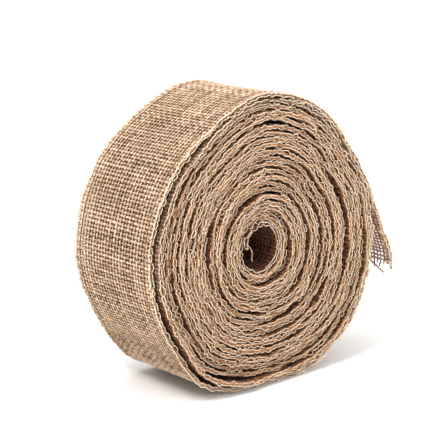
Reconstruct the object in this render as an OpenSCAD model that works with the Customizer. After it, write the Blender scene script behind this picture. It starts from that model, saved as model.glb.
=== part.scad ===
// A coreless roll of open-weave jute ribbon with overlocked edges.
// The roll's spindle hole runs along Y through the origin, which is also the middle of the
// ribbon's width. The roll stands on its rim, +Z up. Seen from the front (from -Y) the ribbon
// runs outwards clockwise and its free end leaves the rim at the right.

/* [Ribbon] */
// Width of the ribbon over its stitched edges
ribbon_w = 50; // [20:1:100]
// Thickness of the jute cloth as wound
cloth_t = 1.3; // [0.6:0.05:2.5]

/* [Roll] */
// Whole turns that are wound and stay put
turns = 21; // [8:1:30]
// Air between the stitched edges of neighbouring turns
turn_gap = 0.5; // [0.4:0.05:2]
// Width of the spindle hole
hole_w = 14.9; // [12:0.1:60]
// Straight stretch between the half-rounds of the oval hole
hole_slot = 2.4; // [0:0.1:3]
// How far the rim's centre lies to the right of the hole
rim_offset = 4; // [0:0.5:6]
// Width of the flat on which the roll stands
foot_w = 15; // [12:1:20]

/* [Overlock stitching] */
// Thickness that a thread layer adds to a face
thread_t = 0.3; // [0.2:0.05:0.5]
// How far the looper threads reach in from the edge
stitch_w = 3.6; // [2:0.1:8]
// Width of the line of needle stitches
needle_w = 0.6; // [0.3:0.1:1]
// Play between the cloth and a thread layer
thread_gap = 0.05; // [0.03:0.01:0.1]

/* [Free end] */
// Stretches of the last half-turn that peel off the roll
wraps = 4; // [2:1:6]
// Angle of the last half-turn that lies on the roll
wrap_sweep = 168; // [140:1:172]
// Length of the free end past the rim
tail_len = 32; // [15:1:80]
// Angle by which the free end stands off the tangent
tail_flare = 10; // [0:1:40]
// Gap at each bending line
bend_gap = 0.3; // [0.2:0.05:0.5]

/* [Loose threads] */
// Thickness of a loose thread
loose_d = 0.7; // [0.4:0.1:1.2]
// Distance of the loose yarn's root from the ribbon's front edge
loose_yarn_root = 14; // [4:1:20]
// Angle by which the loose yarn hangs below the cut end
loose_yarn_droop = 25; // [5:5:85]
// Length of the loose yarn
loose_yarn_len = 12; // [4:1:16]
// Angle that the loose overlock thread turns through in the hole
loose_thread_turn = 60; // [30:5:80]

/* [Hidden] */
stretches = concat(["wound"], [for (k = [1:wraps]) str("wrap_", k)], ["tail"]);

// Ribbon across its thickness: the cloth's middle is at zero, the thread layers lie outside it.
cloth_w = ribbon_w - 2 * (thread_gap + thread_t);
face = cloth_t / 2;
layer_in = face + thread_gap;
layer_out = layer_in + thread_t;

// Spiral: half-turns over the top (even) and under the bottom (odd), each about its own centre.
// Its radii and straights are whole microns, so that each stretch meets the next one exactly.
function micron(v) = round(v * 1000) / 1000;
// The hole's half-rounds stand apart by its slot, which fades out over the first half-turns.
halves = 2 * turns;
pitch = cloth_t + 2 * (thread_gap + thread_t) + turn_gap;
first_r = micron(hole_w / 2 + layer_out);
grow_down = micron((pitch - rim_offset / turns) / 2);
oval_halves = ceil(hole_slot / (turn_gap / 2));
function odd(i) = i % 2;
function radius(i) = first_r + floor(i / 2) * pitch + odd(i) * grow_down;
function straight(i) = oval_halves == 0 ? 0 : micron(hole_slot * max(0, 1 - i / oval_halves));
function centre_x(i) = floor(i / 2) * (pitch - 2 * grow_down) - odd(i) * grow_down;
function centre_z(i) = i == 0 ? micron(hole_slot / 2) : centre_z(i - 1) + (odd(i) ? -1 : 1) * straight(i - 1);

// Foot: the plane on which the roll stands, where its weight presses the last turn flat.
foot_r = radius(halves - 1) + face;
foot_z = centre_z(halves - 1) - sqrt(foot_r * foot_r - foot_w * foot_w / 4);
// Height of the foot plane over the middle of the outermost turn's thickness.
foot_layer = centre_z(halves - 1) - foot_z - radius(halves - 1);
// Where the loopers meet in the thickness: the middle, or deeper where the foot reaches them.
meet = min(0, foot_layer - thread_gap - thread_t / 3);

// Last half-turn: its stretches, and the bending line at the start of each.
last = halves;
wrap_step = wrap_sweep / wraps;
gap_angle = bend_gap / 2 / radius(last) * 180 / PI;
tail_end = bend_gap / 2 + tail_len;

// Rectangle in the ribbon's cross-section: from and to are [outwards, towards the front].
module patch(from, to)
    translate(from) square(to - from);

module cloth_section()
    patch([-face, -cloth_w / 2], [face, cloth_w / 2]);

// Looper thread on the outer face, turned over the edge to where the loopers meet.
module upper_looper_section() {
    patch([layer_in, cloth_w / 2 - stitch_w], [layer_out, ribbon_w / 2]);
    patch([meet + thread_gap, ribbon_w / 2 - thread_t], [layer_out, ribbon_w / 2]);
}

// Looper thread on the inner face, turned over the edge to where the loopers meet.
module lower_looper_section() {
    patch([-layer_out, cloth_w / 2 - stitch_w], [-layer_in, ribbon_w / 2]);
    patch([-layer_out, ribbon_w / 2 - thread_t], [meet - thread_gap, ribbon_w / 2]);
}

module needle_section()
    translate([layer_in, cloth_w / 2 - stitch_w - thread_gap - needle_w]) square([thread_t, needle_w]);

module front_section(thread) {
    if (thread == "needle_thread") needle_section();
    if (thread == "upper_looper") upper_looper_section();
    if (thread == "lower_looper") lower_looper_section();
}

module section(piece, edge) {
    if (piece == "cloth") cloth_section();
    else if (edge == "front") front_section(piece);
    else mirror([0, 1]) front_section(piece);
}

// The child section carried along half-turn i, from one angle travelled to another.
module arc(i, from, to)
    translate([centre_x(i), 0, centre_z(i)])
        rotate([-90, 0, 0])
            rotate([0, 0, 180 - 180 * odd(i) + from])
                rotate_extrude(angle = to - from, $fn = 180)
                    translate([radius(i), 0]) mirror([0, 1]) children();

// The child section carried up or down the straight that follows half-turn i.
module side(i)
    translate([centre_x(i) + (odd(i) ? -1 : 1) * radius(i), 0, min(centre_z(i), centre_z(i + 1))])
        linear_extrude(straight(i))
            mirror([odd(i), 0])
                mirror([0, 1]) children();

// Everything of the roll above the foot plane.
module pressed()
    difference() {
        union() children();
        translate([-2 * foot_r, -ribbon_w, foot_z - foot_r]) cube([4 * foot_r, 2 * ribbon_w, foot_r]);
    }

module wound()
    pressed() {
        for (i = [0 : halves - 2]) {
            arc(i, 0, 180) children();
            if (straight(i) > 0) side(i) children();
        }
        arc(halves - 1, 0, 180 - gap_angle) children();
    }

module wrap(k)
    arc(last, (k - 1) * wrap_step + gap_angle, k * wrap_step - gap_angle) children();

// Children drawn at the free end, where x = 0 is the cloth's middle and -z runs to the cut end.
// The free end is tangent to the roll at its bending line, and flared about that line.
module at_tail()
    translate([centre_x(last), 0, centre_z(last)])
        rotate([0, wrap_sweep - 180, 0])
            translate([radius(last) + layer_out, 0, 0])
                rotate([0, -tail_flare, 0])
                    translate([-layer_out, 0, 0]) children();

module tail()
    at_tail()
        translate([0, 0, -tail_end])
            linear_extrude(tail_len)
                mirror([0, 1]) children();

module stretch(name) {
    if (name == "wound") wound() children();
    for (k = [1:wraps]) if (name == str("wrap_", k)) wrap(k) children();
    if (name == "tail") tail() children();
}

module ribbon(name)
    color("burlywood") stretch(name) section("cloth", "");

module needle_thread(edge, name)
    color("wheat") stretch(name) section("needle_thread", edge);

module upper_looper(edge, name)
    color("antiquewhite") stretch(name) section("upper_looper", edge);

module lower_looper(edge, name)
    color("tan") stretch(name) section("lower_looper", edge);

// End of an overlock thread: it hangs from the ribbon's inner end and curls along the hole's wall.
module loose_thread_core()
    color("antiquewhite")
        translate([0, loose_d - ribbon_w / 2, 0]) {
            translate([-radius(0), 0, centre_z(1)])
                cylinder(h = centre_z(0) - centre_z(1), d = loose_d, $fn = 24);
            translate([centre_x(1), 0, centre_z(1)])
                rotate([90, 0, 0])
                    rotate([0, 0, 180])
                        rotate_extrude(angle = loose_thread_turn, $fn = 90)
                            translate([radius(0) + centre_x(1), 0]) circle(d = loose_d, $fn = 24);
        }

// Weft yarn pulled out of the cut end: it hangs forwards and down from its root.
module loose_yarn_tail()
    color("saddlebrown")
        at_tail()
            translate([0, loose_yarn_root - ribbon_w / 2, -tail_end - loose_d / 2])
                rotate([90 + loose_yarn_droop, 0, 0])
                    cylinder(h = loose_yarn_len, d = loose_d, $fn = 24);

for (s = stretches) {
    ribbon(s);
    for (e = ["front", "rear"]) {
        needle_thread(e, s);
        upper_looper(e, s);
        lower_looper(e, s);
    }
}
loose_thread_core();
loose_yarn_tail();
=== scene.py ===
"""A coreless roll of open-weave jute ribbon with overlocked edges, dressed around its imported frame.

The ribbon is made the way the real one is: its yarns and seam threads are laid out on the flat
strip, and the flat strip is then wound along the roll's spiral. A place on the flat strip is
(along, across, out): metres from the inner end, metres from the middle towards the rear edge, and
metres outwards from the middle of the cloth's thickness.
"""

import logging
import math
from dataclasses import dataclass, field
from enum import Enum
from functools import cached_property
from typing import Any

import bmesh
import bpy
import numpy as np
from mathutils import Matrix, Vector


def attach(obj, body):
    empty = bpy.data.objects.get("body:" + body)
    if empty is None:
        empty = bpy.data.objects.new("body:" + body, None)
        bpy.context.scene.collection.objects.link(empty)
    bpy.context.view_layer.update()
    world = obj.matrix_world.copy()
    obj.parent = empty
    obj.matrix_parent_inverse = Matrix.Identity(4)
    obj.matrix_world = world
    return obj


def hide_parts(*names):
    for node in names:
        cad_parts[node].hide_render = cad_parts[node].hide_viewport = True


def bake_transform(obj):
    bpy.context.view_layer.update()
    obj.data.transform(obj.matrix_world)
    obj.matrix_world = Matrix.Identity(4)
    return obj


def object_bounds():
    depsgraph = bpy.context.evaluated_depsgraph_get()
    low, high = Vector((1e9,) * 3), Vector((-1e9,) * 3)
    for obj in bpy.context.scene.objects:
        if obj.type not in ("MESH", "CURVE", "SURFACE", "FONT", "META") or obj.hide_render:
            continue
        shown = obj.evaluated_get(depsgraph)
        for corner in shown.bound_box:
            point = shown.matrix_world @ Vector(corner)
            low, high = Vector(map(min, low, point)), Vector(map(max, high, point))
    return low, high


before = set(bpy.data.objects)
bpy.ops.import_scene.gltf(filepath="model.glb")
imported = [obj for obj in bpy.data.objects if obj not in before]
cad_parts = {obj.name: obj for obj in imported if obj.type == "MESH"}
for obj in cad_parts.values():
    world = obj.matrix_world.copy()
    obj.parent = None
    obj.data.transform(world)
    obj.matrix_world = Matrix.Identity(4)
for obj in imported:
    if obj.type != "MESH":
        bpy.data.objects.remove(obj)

logging.basicConfig(level=logging.INFO, format="%(name)s: %(message)s")
LOG = logging.getLogger("ribbon_roll")

MM = 0.001
TURN = 2 * math.pi
CAD_BOX = [list(corner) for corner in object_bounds()]

Points = np.ndarray
Place = tuple[float, float, float]
Pair = tuple[float, float]
Stops = tuple[tuple[float, Place], ...]


class Edge(Enum):
    """An edge of the ribbon, by the sign of its side across the strip."""

    FRONT = -1
    REAR = 1

    @property
    def label(self) -> str:
        """The edge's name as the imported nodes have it."""
        return self.name.lower()


class Thread(Enum):
    """One of the three threads of an overlock seam."""

    NEEDLE = "needle_thread"
    UPPER = "upper_looper"
    LOWER = "lower_looper"


def eased(share: Points) -> Points:
    """Smooth step of a share from 0 to 1.

    Args:
        share: Values that are clipped to 0 and 1.

    Returns:
        The eased shares.
    """
    share = np.clip(share, 0.0, 1.0)
    return share * share * (3.0 - 2.0 * share)


def wander(along: Points, step: float, size: float, rng: np.random.Generator) -> Points:
    """Smooth random drift along the strip.

    Args:
        along: Places along the strip.
        step: Distance over which the drift changes its mind.
        size: Standard size of the drift.
        rng: Source of the random values.

    Returns:
        The drift at each place.
    """
    low = float(np.min(along)) - step
    count = int((float(np.max(along)) - low) / step) + 3
    knots = rng.normal(0.0, size, count)
    place = (along - low) / step
    index = np.clip(place.astype(int), 0, count - 2)
    share = eased(place - index)
    return knots[index] * (1.0 - share) + knots[index + 1] * share


def travelled(line: Points) -> Points:
    """Length travelled along a line at each of its points."""
    return np.concatenate([[0.0], np.cumsum(np.linalg.norm(np.diff(line, axis=0), axis=1))])


def rounded(line: Points, times: int) -> Points:
    """A smooth line through the neighbourhood of a few points.

    Args:
        line: The points.
        times: How often its corners are cut.

    Returns:
        The smooth line, with the same ends.
    """
    for _ in range(times):
        cut = np.empty((2 * len(line) - 2, 3))
        cut[0::2] = 0.75 * line[:-1] + 0.25 * line[1:]
        cut[1::2] = 0.25 * line[:-1] + 0.75 * line[1:]
        line = np.vstack([line[:1], cut, line[-1:]])
    return line


def close_ends(mesh: bpy.types.Mesh, sides: int) -> None:
    """Closes a mesh's open rounds.

    Args:
        mesh: The mesh, which is changed.
        sides: The most sides that a round has.
    """
    work = bmesh.new()
    work.from_mesh(mesh)
    bmesh.ops.holes_fill(work, edges=[edge for edge in work.edges if edge.is_boundary], sides=sides)
    work.to_mesh(mesh)
    work.free()
    mesh.update()


def as_mesh(name: str, work: bmesh.types.BMesh) -> bpy.types.Mesh:
    """Turns a bmesh into a mesh and frees it.

    Args:
        name: The mesh's name.
        work: The bmesh.

    Returns:
        The mesh.
    """
    mesh = bpy.data.meshes.new(name)
    work.to_mesh(mesh)
    work.free()
    return mesh


def places_of(mesh: bpy.types.Mesh) -> Points:
    """Reads a mesh's vertices.

    Args:
        mesh: The mesh.

    Returns:
        A row of three for each vertex.
    """
    places = np.empty(len(mesh.vertices) * 3)
    mesh.vertices.foreach_get("co", places)
    return places.reshape(-1, 3)


def linked(name: str, data: bpy.types.ID) -> bpy.types.Object:
    """Puts a new object into the scene.

    Args:
        name: The object's name.
        data: Its mesh, curve, light or camera.

    Returns:
        The object.
    """
    thing = bpy.data.objects.new(name, data)
    bpy.context.scene.collection.objects.link(thing)
    return thing


def facing(place: Vector, towards: Vector, axis: str) -> Matrix:
    """The placing of an object that turns one of its axes towards something.

    Args:
        place: Where it stands.
        towards: The direction that the axis takes.
        axis: The axis, as "Z" or "-Z".

    Returns:
        The placing.
    """
    return Matrix.Translation(place) @ towards.to_track_quat(axis, "Y").to_matrix().to_4x4()


@dataclass(frozen=True)
class Strip:
    """The flat ribbon: its cloth and its seam.

    Attributes:
        width: Width over the stitched edges.
        margin: Part of the width that is left free of lengthwise yarns.
        warp_pitch: Distance between lengthwise yarns.
        weft_pitch: Distance between crosswise yarns.
        warp_r: Radius of a lengthwise yarn before it is pressed.
        weft_r: Radius of a crosswise yarn before it is pressed.
        crimp: How far a yarn swings to each side as it crosses the others.
        press: Share of a yarn's thickness that is left when the cloth is pressed.
        stitch: Distance between overlock stitches.
        seam: How far the seam reaches in from the edge.
        thread_r: Radius of a seam thread.
    """

    width: float = 50 * MM
    margin: float = 1.0 * MM
    warp_pitch: float = 1.95 * MM
    weft_pitch: float = 1.7 * MM
    warp_r: float = 0.54 * MM
    weft_r: float = 0.51 * MM
    crimp: float = 0.4 * MM
    press: float = 0.66
    stitch: float = 3.3 * MM
    seam: float = 3.5 * MM
    thread_r: float = 0.185 * MM

    @property
    def half(self) -> float:
        """Half of the width."""
        return self.width / 2

    @property
    def face(self) -> float:
        """Height of the pressed cloth's face over its middle."""
        return (self.crimp + self.warp_r) * self.press

    @property
    def warps(self) -> int:
        """Number of lengthwise yarns."""
        return int((self.width - self.margin) / self.warp_pitch) + 1

    def warp_place(self, index: int) -> float:
        """Place across the strip of a lengthwise yarn."""
        return (index - (self.warps - 1) / 2) * self.warp_pitch


@dataclass(frozen=True)
class Gap:
    """Air between two turns, widest at one place round the roll.

    Attributes:
        at: Angle travelled from the left, clockwise from the front, in radians.
        turn: The first turn that is pushed outwards.
        size: Width of the air at its widest.
        reach: Angle on each side over which it closes.
    """

    at: float
    turn: int
    size: float
    reach: float


@dataclass(frozen=True)
class Lump:
    """A place where the rim stands proud of a true round, or is flatter.

    Attributes:
        at: Angle travelled from the left, clockwise from the front, in degrees.
        height: Outward shift of the rim, negative where it is flatter.
        reach: Angle over which the shift fades, in degrees.
    """

    at: float
    height: float
    reach: float


@dataclass(frozen=True)
class Setback:
    """A stretch of the strip that stands back from the front, or forward of it.

    Attributes:
        past: Distance of its middle past the first bending line.
        size: How far it stands back, negative where it stands forward.
        reach: Distance on each side over which it fades.
    """

    past: float
    size: float
    reach: float


@dataclass
class Spiral:
    """The wound strip's path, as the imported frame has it, with the unevenness of a hand-wound roll.

    Attributes:
        turns: Whole turns that stay put under the last half-turn.
        pitch: Distance from one turn to the next.
        first_r: Radius of the first half-turn.
        grow_down: Growth of the radius from an upper half-turn to the lower one after it.
        slot: Straight between the half-rounds of the oval hole.
        slot_halves: Half-turns over which the straights fade out.
        wraps: Stretches of the last half-turn that peel off.
        wrap_sweep: Angle of the last half-turn that lies on the roll, in degrees.
        tail: Length of the free end.
        tail_flare: Angle by which the free end stands off the tangent, in degrees.
        flare_share: Share of the free end over which it flares.
        tail_curl: Angle by which the free end curls back towards the roll, in degrees.
        hook: Further curl of its tip, as a share of that angle.
        hook_share: Share of the free end that hooks over.
        tail_spare: Samples by which the free end outruns its length.
        floor: Height of what the roll stands on.
        seam_out: Distance from the cloth's middle to the outside of its seam.
        seated: Turns at the rim's end whose lowest part lies on the floor itself.
        layer: Thickness of each further turn where the roll's weight presses it.
        seat_soft: Height over which a turn eases onto what it lies on.
        step: Spacing of the path's samples.
        seed: Seed of the unevenness.
        gaps: Number of places where air shows between two turns by chance.
        gap_first: The first turn that such air can push outwards.
        gap_stride: Turns from one such place to the next.
        gap_size: Usual width of that air.
        gap_sizes: Least and most of that width, as shares of the usual.
        gap_reaches: Least and most angle over which it closes, in radians.
        sway: Usual drift of the strip towards the front or the rear.
        sway_step: Distance over which the drift changes its mind.
        sway_grid: Spacing of the drift's samples.
        rim_sway: Share of the drift that is left at the rim.
        rim_fade: Length over which the drift and the waviness fall to the rim's.
        tail_fade: Length before the rim's end over which the drift dies away.
        ripple: Usual waviness of the edges, in and out.
        ripple_across: Waviness across the strip, as a share of that.
        ripple_step: Distance over which the waviness changes its mind.
        ripple_grid: Spacing of the waviness's samples.
        ripple_spare: Length past each end for which the waviness is worked out.
        ripple_reach: Distance from the edge over which the waviness dies away.
        rim_ripple: Share of the waviness in and out that is left at the rim.
        ripple_past: Length past the lowest half-turn's start that keeps all its waviness.
        half_width: Half of the strip's width.
        known_gaps: Places where the air is as it is on this roll.
        lumps: Unevenness of the rim.
        setbacks: Stretches that stand back from the front or forward of it.
    """

    turns: int = 21
    pitch: float = 2.5 * MM
    first_r: float = 8.45 * MM
    grow_down: float = 1.155 * MM
    slot: float = 2.4 * MM
    slot_halves: int = 10
    wraps: int = 4
    wrap_sweep: float = 168.0
    tail: float = 33.5 * MM
    tail_flare: float = 9.0
    flare_share: float = 0.25
    tail_curl: float = 8.0
    hook: float = 2.5
    hook_share: float = 0.22
    tail_spare: int = 8
    floor: float = -59.8 * MM
    seam_out: float = 0.85 * MM
    seated: float = 0.2
    layer: float = 2.0 * MM
    seat_soft: float = 0.25 * MM
    step: float = 0.25 * MM
    seed: int = 11
    gaps: int = 26
    gap_first: int = 5
    gap_stride: int = 7
    gap_size: float = 0.24 * MM
    gap_sizes: Pair = (0.5, 1.6)
    gap_reaches: Pair = (1.2, 2.6)
    sway: float = 1.1 * MM
    sway_step: float = 0.09
    sway_grid: float = 5 * MM
    rim_sway: float = 0.35
    rim_fade: float = 0.05
    tail_fade: float = 0.03
    ripple: float = 0.26 * MM
    ripple_across: float = 1.4
    ripple_step: float = 6 * MM
    ripple_grid: float = 1.5 * MM
    ripple_spare: float = 0.1
    ripple_reach: float = 7 * MM
    rim_ripple: float = 0.25
    ripple_past: float = 0.06
    half_width: float = 25 * MM
    known_gaps: tuple[Gap, ...] = (
        Gap(0.2, 21, 1.4 * MM, 1.5),
        Gap(0.1, 20, 0.7 * MM, 1.2),
        Gap(5.4, 19, 0.6 * MM, 1.2),
        Gap(1.6, 17, 0.5 * MM, 1.4),
        Gap(0.0, 18, 0.6 * MM, 1.0),
        Gap(0.3, 14, 0.5 * MM, 1.1),
    )
    lumps: tuple[Lump, ...] = (
        Lump(17, -0.7 * MM, 12),
        Lump(56, -1.9 * MM, 18),
        Lump(88, 1.4 * MM, 13),
        Lump(143, -3.2 * MM, 19),
        Lump(218, 4.6 * MM, 32),
        Lump(302, 2.4 * MM, 14),
        Lump(332, -0.7 * MM, 13),
    )
    setbacks: tuple[Setback, ...] = (
        Setback(-390 * MM, -0.9 * MM, 90 * MM),
        Setback(-760 * MM, 0.9 * MM, 80 * MM),
    )

    @property
    def halves(self) -> int:
        """Half-turns under the last one."""
        return 2 * self.turns

    def radius(self, half: int) -> float:
        """Radius of a half-turn."""
        return self.first_r + half // 2 * self.pitch + half % 2 * self.grow_down

    def straight(self, half: int) -> float:
        """Length of the straight after a half-turn."""
        return self.slot * max(0.0, 1.0 - half / self.slot_halves)

    def centre(self, half: int) -> tuple[float, float]:
        """Centre of a half-turn.

        Args:
            half: The half-turn, counted from the hole.

        Returns:
            The centre's places right and up.
        """
        right = half // 2 * (self.pitch - 2 * self.grow_down) - half % 2 * self.grow_down
        up = self.slot / 2
        for earlier in range(half):
            up += self.straight(earlier) * (1 if earlier % 2 else -1)
        return right, up

    @cached_property
    def _plain(self) -> dict[str, Points]:
        """The even path, before any unevenness.

        Returns:
            Places right and up, the angle travelled, and under "marks" where half-turns begin.
        """
        right, up, angle, marks = [], [], [], []
        for half in range(self.halves + 1):
            marks.append(sum(len(part) for part in right))
            sweep = math.radians(self.wrap_sweep) if half == self.halves else math.pi
            r, (cx, cz) = self.radius(half), self.centre(half)
            turned = np.arange(0.0, sweep, self.step / r)
            start = math.pi if half % 2 == 0 else 0.0
            right.append(cx + r * np.cos(start - turned))
            up.append(cz + r * np.sin(start - turned))
            angle.append(half * math.pi + turned)
            run = self.straight(half) if half < self.halves else 0.0
            if run > self.step:
                down = np.arange(0.0, run, self.step)
                side = -1 if half % 2 else 1
                right.append(np.full(len(down), cx + side * r))
                up.append(cz - side * down)
                angle.append(np.full(len(down), (half + 1) * math.pi))
        return {
            "right": np.concatenate(right),
            "up": np.concatenate(up),
            "angle": np.concatenate(angle),
            "marks": np.array(marks),
        }

    def _uneven(self, angle: Points) -> Points:
        """Outward shift of the path.

        Args:
            angle: The angle travelled at each of its places.

        Returns:
            The shift at each place.
        """
        rng = np.random.default_rng(self.seed)
        shift = np.zeros_like(angle)
        share = angle / (self.halves * math.pi)
        chance = [
            Gap(
                at=float(rng.uniform(0.0, TURN)),
                turn=self.gap_first + (index * self.gap_stride) % (self.turns - self.gap_first),
                size=float(self.gap_size * rng.uniform(*self.gap_sizes)),
                reach=float(rng.uniform(*self.gap_reaches)),
            )
            for index in range(self.gaps)
        ]
        for gap in (*self.known_gaps, *chance):
            off = (angle - gap.at + math.pi) % TURN - math.pi
            window = np.cos(np.clip(off / gap.reach, -1.0, 1.0) * math.pi / 2) ** 2
            outside = np.floor((angle - gap.at + math.pi) / TURN) >= gap.turn
            shift += gap.size * window * (outside - share)
        for lump in self.lumps:
            off = (angle - math.radians(lump.at) + math.pi) % TURN - math.pi
            shift += lump.height * np.exp(-((off / math.radians(lump.reach)) ** 2)) * share
        return shift

    def _stand(self, up: Points, angle: Points) -> Points:
        """Lifts the lowest part of the outer turns, so that the roll stands flat on the floor.

        Args:
            up: Height of each of the path's places.
            angle: The angle travelled there.

        Returns:
            The new heights.
        """
        turns_in = (angle[-1] - angle) / TURN
        lowest = self.floor + self.seam_out + np.clip(turns_in - self.seated, 0.0, None) * self.layer
        over, clear = (up - lowest) / self.seat_soft, 30.0
        lifted = lowest + self.seat_soft * np.logaddexp(0.0, np.clip(over, -2 * clear, 2 * clear))
        return np.where(over > clear, up, lifted)

    @cached_property
    def line(self) -> dict[str, Points]:
        """The finished path.

        Returns:
            Lengths travelled, places right and up, outward normals, where half-turns begin, and
            under "rim_end" where the free end does.
        """
        plain = self._plain
        turned = plain["angle"]
        out_x, out_z = -np.cos(turned), np.sin(turned)
        shift = self._uneven(turned)
        right = plain["right"] + out_x * shift
        up = self._stand(plain["up"] + out_z * shift, turned)
        count = int(self.tail / self.step) + self.tail_spare
        share = np.arange(1, count + 1) / count
        heading = math.atan2(up[-1] - up[-5], right[-1] - right[-5])
        lift = math.radians(self.tail_flare) * eased(share / self.flare_share)
        hooked = eased((share - 1.0 + self.hook_share) / self.hook_share)
        curl = math.radians(self.tail_curl) * (share**2 + self.hook * hooked)
        course = heading + lift - curl
        right = np.concatenate([right, right[-1] + np.cumsum(np.cos(course)) * self.step])
        up = np.concatenate([up, up[-1] + np.cumsum(np.sin(course)) * self.step])
        run = np.hypot(np.diff(right), np.diff(up))
        along = np.concatenate([[0.0], np.cumsum(run)])
        ahead_x, ahead_z = np.gradient(right, along), np.gradient(up, along)
        size = np.hypot(ahead_x, ahead_z)
        ahead_x, ahead_z = ahead_x / size, ahead_z / size
        starts = along[plain["marks"]]
        return {
            "along": along,
            "right": right,
            "up": up,
            "out_x": -ahead_z,
            "out_z": ahead_x,
            "starts": starts,
            "rim_end": np.array([along[len(turned) - 1]]),
        }

    @property
    def length(self) -> float:
        """Length of the whole strip."""
        return float(self.line["along"][-1])

    @property
    def rim_end(self) -> float:
        """Where the free end leaves the rim."""
        return float(self.line["rim_end"][0])

    def half_start(self, half: int) -> float:
        """Where a half-turn begins along the strip."""
        return float(self.line["starts"][half])

    def hinge(self, index: int) -> float:
        """Place along the strip of a bending line, 0 at the left and the last at the free end."""
        first = self.half_start(self.halves)
        return first + (self.rim_end - first) * index / self.wraps

    def at(self, along: Points) -> dict[str, Points]:
        """The path at some places, carried on straight past its ends.

        Args:
            along: Places along the strip.

        Returns:
            The path's places and outward normals there.
        """
        line = self.line
        inside = np.clip(along, 0.0, self.length)
        found = {
            key: np.interp(inside, line["along"], line[key])
            for key in ("right", "up", "out_x", "out_z")
        }
        past = along - inside
        found["right"] = found["right"] + found["out_z"] * past
        found["up"] = found["up"] - found["out_x"] * past
        return found

    def sway_at(self, along: Points) -> Points:
        """How far the strip stands back from the front.

        Args:
            along: Places along the strip.

        Returns:
            The distance at each place.
        """
        rng = np.random.default_rng(self.seed + 1)
        step = self.sway_step
        grid = np.arange(-step, self.length + 2 * step, self.sway_grid)
        drift = wander(grid, step, self.sway, rng) + wander(grid, step / 4, self.sway / 3, rng)
        rim = eased((grid - self.half_start(self.halves - 1)) / self.rim_fade)
        drift = drift * (1.0 - (1.0 - self.rim_sway) * rim)
        for setback in self.setbacks:
            past = grid - self.half_start(self.halves) - setback.past
            drift = drift + setback.size * np.exp(-((past / setback.reach) ** 2))
        tail = eased((grid - self.rim_end + self.tail_fade) / self.tail_fade)
        return np.interp(along, grid, drift * (1.0 - tail))

    @cached_property
    def _ripples(self) -> dict[str, Points]:
        """The edges' waviness along the strip.

        Returns:
            Places along, and under "waves" the front's and the rear's, outwards and then across.
        """
        rng = np.random.default_rng(self.seed + 2)
        grid = np.arange(-self.ripple_spare, self.length + self.ripple_spare, self.ripple_grid)
        shares = (1.0, 1.0, self.ripple_across, self.ripple_across)
        waves = [wander(grid, self.ripple_step, self.ripple * share, rng) for share in shares]
        return {"grid": grid, "waves": np.array(waves)}

    def _rippled(self, flat: Points) -> Points:
        """Adds the edges' waviness.

        Args:
            flat: Rows of (along, across, out).

        Returns:
            The rows with the waviness.
        """
        found = self._ripples
        waves = [np.interp(flat[:, 0], found["grid"], wave) for wave in found["waves"]]
        inside = self.half_width - np.abs(flat[:, 1])
        near = np.clip(1.0 - inside / self.ripple_reach, 0.0, 1.0) ** 2
        front = flat[:, 1] < 0.0
        last = self.half_start(self.halves - 1) + self.ripple_past
        inner = eased((last - flat[:, 0]) / self.rim_fade)
        strength = near * (self.rim_ripple + (1.0 - self.rim_ripple) * inner)
        moved = flat.copy()
        moved[:, 2] += strength * np.where(front, waves[0], waves[1])
        moved[:, 1] += near * np.where(front, waves[2], waves[3])
        return moved

    def wind(self, flat: Points) -> Points:
        """Carries flat places onto the roll.

        Args:
            flat: Rows of (along, across, out).

        Returns:
            Rows of places in the frame.
        """
        flat = self._rippled(flat)
        found = self.at(flat[:, 0])
        return np.stack(
            [
                found["right"] + found["out_x"] * flat[:, 2],
                flat[:, 1] + self.sway_at(flat[:, 0]),
                found["up"] + found["out_z"] * flat[:, 2],
            ],
            axis=1,
        )

    def place(self, along: float) -> Vector:
        """The path's place in the frame, at mid-width."""
        return Vector(self.wind(np.array([[along, 0.0, 0.0]]))[0])


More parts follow.
